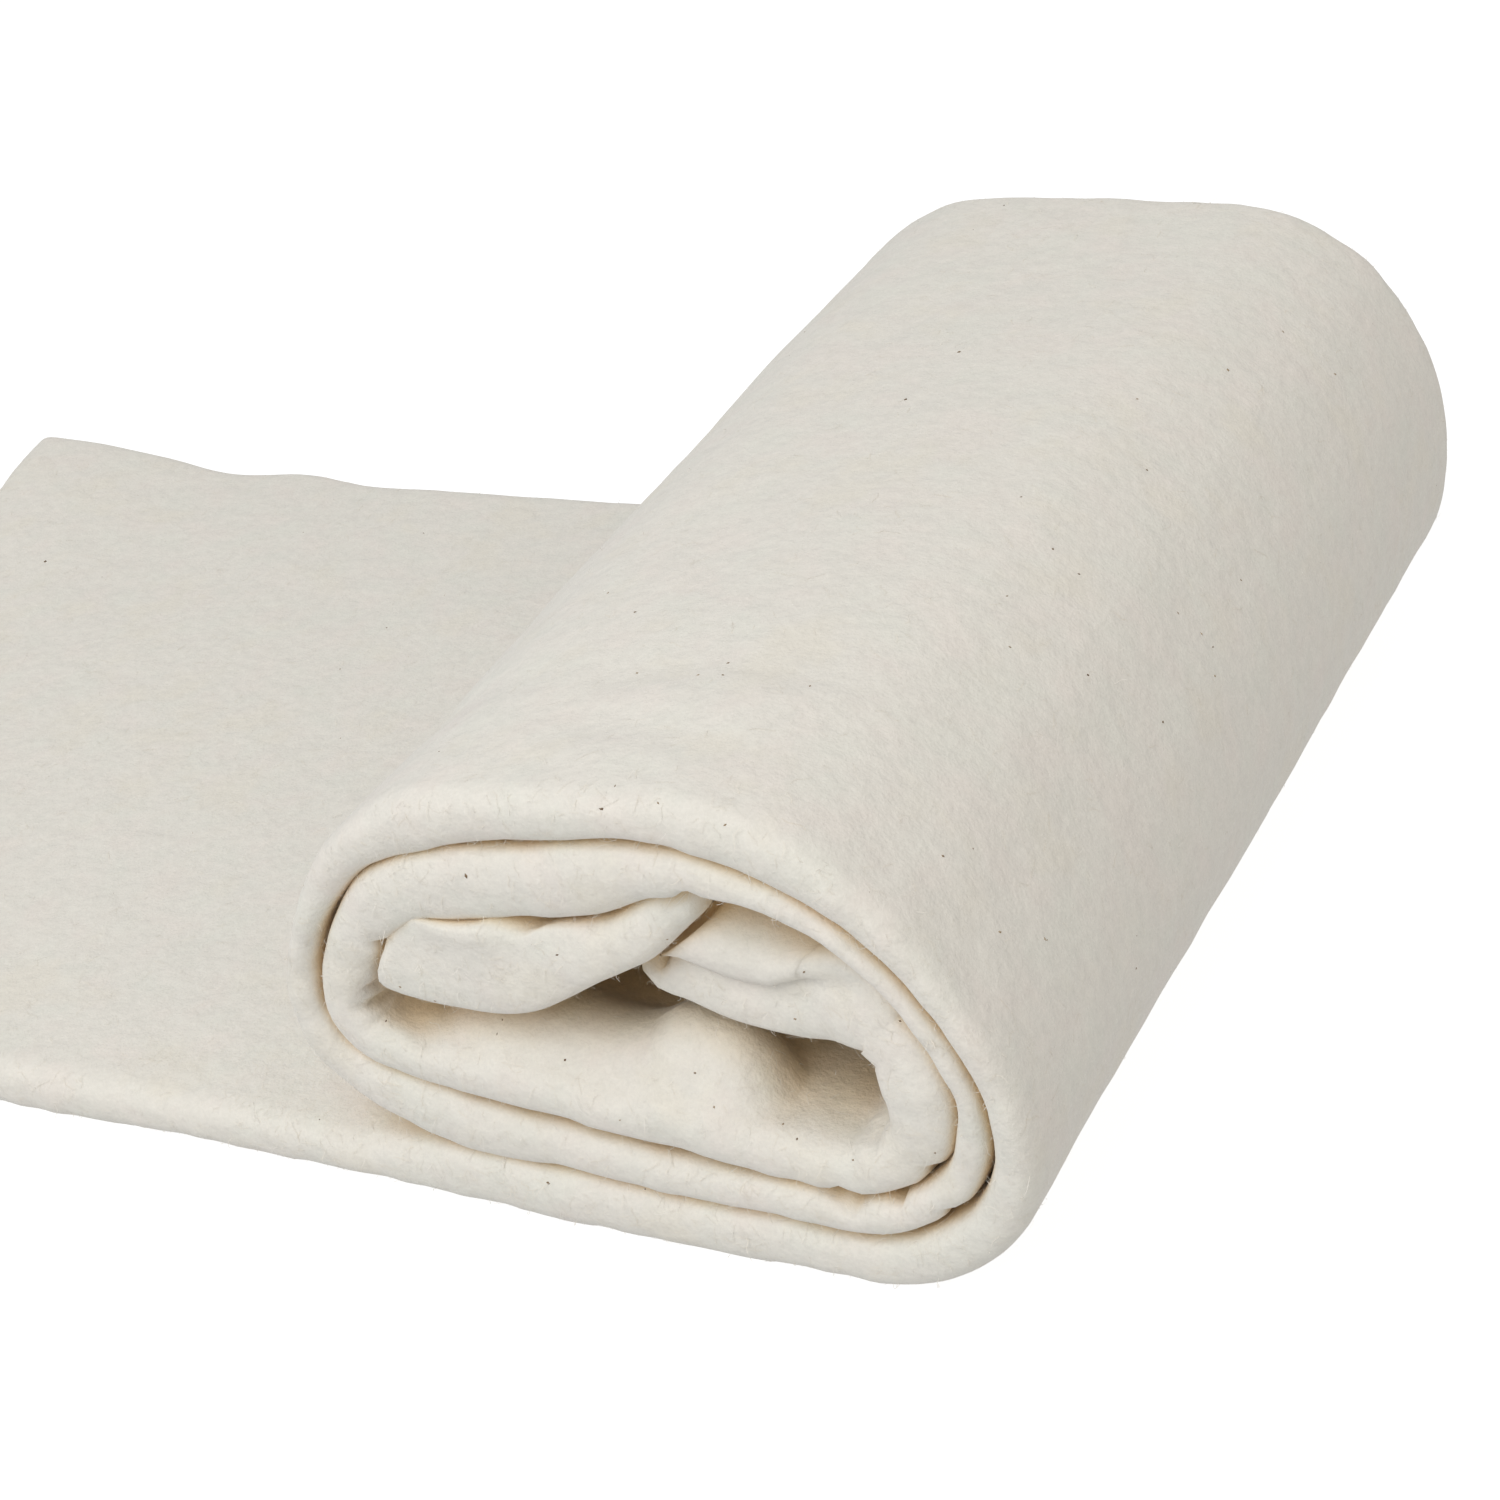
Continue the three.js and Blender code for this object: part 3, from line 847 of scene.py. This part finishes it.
def add_flecks(skin, piece, material):
    """Flecks of seed husk: flat scraps, at their places in the photograph and scattered over the rest."""
    rng = np.random.default_rng(FLECK_SEED)
    place, normal, along, aside, _ = skin.scatter(LOOSE_FLECKS, np.ones_like(skin.area), rng)
    size = rng.lognormal(math.log(FLECK_SIZE), FLECK_VARIETY, LOOSE_FLECKS)
    seen = [seen_point(piece, fleck.right, fleck.down) for fleck in FLECKS]
    spots = [(spot, fleck.size) for spot, fleck in zip(seen, FLECKS) if spot is not None]
    for (point, out), long in spots:
        out = np.array(out)
        first = np.cross(out, rng.normal(size=3))
        first /= np.linalg.norm(first)
        place = np.vstack([place, np.array(point) / MM])
        normal = np.vstack([normal, out])
        along = np.vstack([along, first])
        aside = np.vstack([aside, np.cross(out, first)])
        size = np.append(size, long)
    count = len(size)
    size = size[:, None]
    slim = rng.uniform(*FLECK_SLIM, count)[:, None]
    corners = [
        along * size / 2,
        aside * size * slim / 2,
        -along * size / 2,
        -aside * size * slim / 2,
        normal * size * FLECK_THICK / 2,
        -normal * size * FLECK_THICK / 2,
    ]
    points = np.stack([place + corner for corner in corners], axis=1).reshape(-1, 3)
    ring = [(0, 1), (1, 2), (2, 3), (3, 0)]
    shape = np.array([(a, b, 4) for a, b in ring] + [(b, a, 5) for a, b in ring])
    faces = (np.arange(count)[:, None, None] * 6 + shape).reshape(-1, 3)
    return add_mesh("seed_flecks", points, faces, material)


def seen_point(piece, right, down):
    """Where the camera sees the sheet at a place in the photograph, and the normal there."""
    camera = bpy.context.scene.camera
    reach = camera.data.sensor_width / camera.data.lens / PHOTO_SIZE
    ray = Vector(((right - PHOTO_SIZE / 2) * reach, (PHOTO_SIZE / 2 - down) * reach, -1)).normalized()
    matrix = camera.matrix_world
    hit, point, normal, _ = piece.ray_cast(matrix.translation, matrix.to_3x3() @ ray)
    return (point, normal) if hit else None


WHITE = (1, 1, 1, 1)

# The white table: how bright it is by itself, and how far it reaches, in millimetres
FLOOR_COLOUR = (0.5, 0.5, 0.5, 1)
FLOOR_GLOW = 0.75
FLOOR_REACH = 8000


def add_floor():
    """The table, pure white to the camera. It throws no light on the cloth: LIGHT_BELOW stands for that."""
    material = bpy.data.materials.new("white_floor")
    material.use_nodes = True
    shader = material.node_tree.nodes["Principled BSDF"]
    shader.inputs["Base Color"].default_value = FLOOR_COLOUR
    shader.inputs["Roughness"].default_value = 0.9
    shader.inputs["Emission Color"].default_value = WHITE
    shader.inputs["Emission Strength"].default_value = FLOOR_GLOW
    reach = FLOOR_REACH
    corners = [(-reach, -reach, 0), (reach, -reach, 0), (reach, reach, 0), (-reach, reach, 0)]
    floor = add_mesh("floor", corners, [[0, 1, 2, 3]], material)
    floor.visible_diffuse = False


# The camera, where the photograph was taken: its place in metres, how it is turned about the roll, raised
# and rolled, and its lens and sensor in millimetres
CAMERA_PLACE = (0.2573, -0.4684, 0.3456)
CAMERA_AZIMUTH = math.radians(31.27)
CAMERA_ELEVATION = math.radians(30.73)
CAMERA_ROLL = math.radians(-10)
LENS = 73.41
SENSOR_WIDTH = 36


def add_camera():
    """The photograph's camera, turned by its three angles."""
    azimuth, elevation, roll = CAMERA_AZIMUTH, CAMERA_ELEVATION, CAMERA_ROLL
    level = Vector((math.cos(azimuth), math.sin(azimuth), 0))
    back = Vector((
        math.sin(azimuth) * math.cos(elevation),
        -math.cos(azimuth) * math.cos(elevation),
        math.sin(elevation),
    ))
    above = back.cross(level)
    right = level * math.cos(roll) + above * math.sin(roll)
    up = above * math.cos(roll) - level * math.sin(roll)
    data = bpy.data.cameras.new("camera")
    data.sensor_width = SENSOR_WIDTH
    data.lens = LENS
    camera = bpy.data.objects.new("camera", data)
    turn = Matrix((right, up, back)).transposed().to_4x4()
    camera.matrix_world = Matrix.Translation(Vector(CAMERA_PLACE)) @ turn
    bpy.context.scene.collection.objects.link(camera)
    bpy.context.scene.camera = camera


# Light of the white surroundings, from below, where the white table throws it back, and from above, and
# how far above and below the horizon the one turns into the other
LIGHT_BELOW = 0.58
LIGHT_ABOVE = 0.52
HORIZON = 0.3

# The lamps: places and sizes in metres
LampRow = namedtuple("LampRow", "name place size watts colour")
LAMPS = [
    LampRow("key", (-0.25, -1.1, 1.3), 1.2, 13, (1, 1, 1)),
    LampRow("warm_fill", (1.5, -0.5, 0.8), 1.0, 2.6, (1, 0.82, 0.6)),
]


def add_lamp(row):
    """An area lamp that looks at the origin."""
    data = bpy.data.lights.new(row.name, "AREA")
    data.size = row.size
    data.energy = row.watts
    data.color = row.colour
    lamp = bpy.data.objects.new(row.name, data)
    lamp.location = row.place
    lamp.rotation_euler = (-Vector(row.place)).to_track_quat("-Z", "Y").to_euler()
    bpy.context.scene.collection.objects.link(lamp)


def add_lights():
    """The white surroundings, the lamps, and the plain view transform."""
    world = bpy.data.worlds.new("studio")
    world.use_nodes = True
    tree = world.node_tree
    background = tree.nodes["Background"]
    background.inputs["Color"].default_value = WHITE
    direction = tree.nodes.new("ShaderNodeTexCoord").outputs["Generated"]
    split = tree.nodes.new("ShaderNodeSeparateXYZ")
    tree.links.new(direction, split.inputs[0])
    height = tree.nodes.new("ShaderNodeMapRange")
    height.inputs["From Min"].default_value = -HORIZON
    height.inputs["From Max"].default_value = HORIZON
    height.inputs["To Min"].default_value = LIGHT_BELOW
    height.inputs["To Max"].default_value = LIGHT_ABOVE
    tree.links.new(split.outputs["Z"], height.inputs["Value"])
    tree.links.new(height.outputs["Result"], background.inputs["Strength"])
    bpy.context.scene.world = world
    bpy.context.scene.view_settings.view_transform = "Standard"
    for row in LAMPS:
        add_lamp(row)


add_floor()
add_camera()
add_lights()
batting, batting_skin = add_batting(cotton_material())
bpy.context.view_layer.update()
fibres = add_fibres(batting_skin, fibre_material())
flecks = add_flecks(batting_skin, batting, husk_material())
for loose in (fibres, flecks):
    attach(loose, "root")
